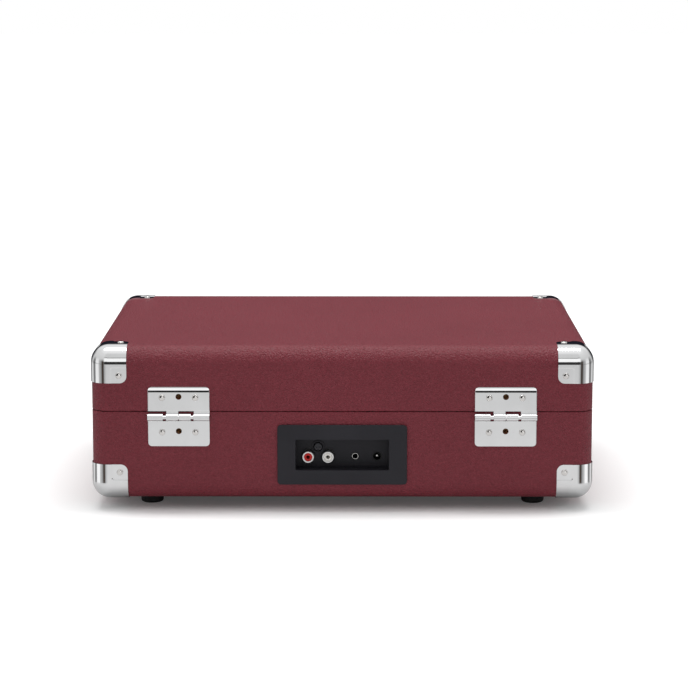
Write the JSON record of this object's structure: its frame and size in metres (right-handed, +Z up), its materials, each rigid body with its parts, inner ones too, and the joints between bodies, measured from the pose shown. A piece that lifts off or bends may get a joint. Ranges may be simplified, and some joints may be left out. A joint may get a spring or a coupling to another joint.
{
  "type": "suitcase record player",
  "caption": "Portable record player in a latched leatherette suitcase with metal corners, belt-driven platter, tonearm, front speakers and a recessed rear jack panel.",
  "frame": {"origin": "centre of the bounding box's floor: the feet stand on Z = 0", "axes": "+Z up, -Y the front with the handle, latches and speakers, +Y the back with the hinges and jack panel, +X to the right seen from the front"},
  "size_m": [0.3568, 0.2816, 0.119],
  "materials": {
    "leatherette": "satin, fine pebble grain",
    "board": "raw board",
    "lining": "matt flock paper",
    "bright_metal": "polished nickel plate",
    "steel": "satin",
    "charcoal_plastic": "fine moulded texture",
    "black_plastic": "moulded",
    "socket_metal": "nickel plate",
    "red_plastic": "gloss",
    "white_plastic": "gloss",
    "board_green": "solder mask",
    "foot_rubber": "matt",
    "grip_covering": "stitched leatherette",
    "paper_cone": "pressed paper",
    "platter_plastic": "moulded",
    "felt": "felt",
    "weight_metal": "satin",
    "knob_plastic": "gloss",
    "lamp": "clear red"
  },
  "bodies": {
    "base": {"base_box": "board", "base_covering": "leatherette", "base_corners": "bright_metal", "base_rivets": "bright_metal", "hinge_leaves_base": "bright_metal", "pivot_pins": "bright_metal", "latch_plates": "bright_metal", "handle_brackets": "bright_metal", "feet": "foot_rubber", "screws": "steel", "jack_bezel": "charcoal_plastic", "rca_block": "black_plastic", "rca_sleeves": "socket_metal", "rca_insulator_red": "red_plastic", "rca_insulator_white": "white_plastic", "audio_jacks": "black_plastic", "dc_jack": "black_plastic", "circuit_boards": "board_green", "speaker_grilles": "charcoal_plastic", "speaker_frames": "steel", "speaker_cones": "paper_cone", "deck_plate": "black_plastic", "deck_battens": "board", "motor_can": "steel", "motor_grommets": "foot_rubber", "drive_belt": "foot_rubber", "spindle_bush": "steel", "tonearm_base": "charcoal_plastic", "cue_bracket": "charcoal_plastic", "arm_rest": "charcoal_plastic", "adapter_45": "charcoal_plastic", "power_light": "lamp"},
    "turntable": {"platter": "platter_plastic", "slipmat": "felt", "spindle": "steel"},
    "rotor": {"motor_pulley": "platter_plastic"},
    "lid": {"lid_box": "board", "lid_covering": "leatherette", "lid_lining": "lining", "lid_corners": "bright_metal", "lid_rivets": "bright_metal", "hinge_leaves_lid": "bright_metal", "latch_strikes": "bright_metal"},
    "hasp_left": {"latch_hasp_left": "bright_metal"},
    "hasp_right": {"latch_hasp_right": "bright_metal"},
    "handle": {"handle_frame": "bright_metal", "handle_grip": "grip_covering"},
    "gimbal": {"arm_gimbal": "charcoal_plastic"},
    "arm": {"arm_tube": "bright_metal", "counterweight": "weight_metal", "headshell": "black_plastic", "cartridge": "black_plastic", "stylus": "charcoal_plastic"},
    "clip": {"arm_clip": "charcoal_plastic"},
    "cue": {"cue_lever": "charcoal_plastic"},
    "lift": {"lift_bar": "charcoal_plastic"},
    "volume": {"volume_knob": "knob_plastic"},
    "source": {"source_knob": "knob_plastic"},
    "speed": {"speed_slide": "knob_plastic"},
    "auto_stop": {"auto_stop_slide": "knob_plastic"}
  },
  "joints": [
    {"name": "lid_hinge", "type": "hinge", "parent": "base", "child": "lid", "pos_m": [0, 0.1381, 0.0683], "axis": [-1, 0, 0], "range_deg": [0, 98]},
    {"name": "latch_left", "type": "hinge", "parent": "base", "child": "hasp_left", "pos_m": [-0.08, -0.13, 0.056], "axis": [1, 0, 0], "range_deg": [0, 150]},
    {"name": "latch_right", "type": "hinge", "parent": "base", "child": "hasp_right", "pos_m": [0.08, -0.13, 0.056], "axis": [1, 0, 0], "range_deg": [0, 150]},
    {"name": "handle_swing", "type": "hinge", "parent": "base", "child": "handle", "pos_m": [0, -0.1328, 0.046], "axis": [-1, 0, 0], "range_deg": [0, 150]},
    {"name": "platter_spin", "type": "hinge", "parent": "base", "child": "turntable", "pos_m": [-0.02, -0.0198, 0.06], "axis": [0, 0, -1], "continuous": true},
    {"name": "motor_spin", "type": "hinge", "parent": "base", "child": "rotor", "pos_m": [-0.07586, 0.03606, 0.06], "axis": [0, 0, -1], "continuous": true},
    {"name": "arm_swing", "type": "hinge", "parent": "base", "child": "gimbal", "pos_m": [0.142, 0.0842, 0.066], "axis": [0, 0, -1], "range_deg": [0, 42]},
    {"name": "arm_lift", "type": "hinge", "parent": "gimbal", "child": "arm", "pos_m": [0.142, 0.0842, 0.0925], "axis": [-1, 0, 0], "range_deg": [0, 3]},
    {"name": "arm_clip_turn", "type": "hinge", "parent": "base", "child": "clip", "pos_m": [0.1482, -0.0338, 0.0977], "axis": [0, -1, 0], "range_deg": [0, 90]},
    {"name": "cue_lever_turn", "type": "hinge", "parent": "base", "child": "cue", "pos_m": [0.16, 0.0622, 0.077], "axis": [-1, 0, 0], "range_deg": [0, 60]},
    {"name": "cue_lift_slide", "type": "slide", "parent": "base", "child": "lift", "axis": [0, 0, 1], "range_m": [0, 0.0024]},
    {"name": "volume_turn", "type": "hinge", "parent": "base", "child": "volume", "pos_m": [0.114, -0.1018, 0.07], "axis": [0, 0, -1], "range_deg": [-135, 135]},
    {"name": "source_turn", "type": "hinge", "parent": "base", "child": "source", "pos_m": [0.086, -0.1038, 0.07], "axis": [0, 0, -1], "range_deg": [-30, 30]},
    {"name": "speed_slide_move", "type": "slide", "parent": "base", "child": "speed", "axis": [1, 0, 0], "range_m": [0, 0.012]},
    {"name": "auto_stop_move", "type": "slide", "parent": "base", "child": "auto_stop", "axis": [1, 0, 0], "range_m": [0, 0.006]}
  ],
  "couplings": [
    {"joint": "motor_spin", "follows": "platter_spin", "ratio": 21.968},
    {"joint": "arm_lift", "follows": "cue_lever_turn", "ratio": 0.05},
    {"joint": "cue_lift_slide", "follows": "cue_lever_turn", "m_per_rad": 0.0022918}
  ]
}
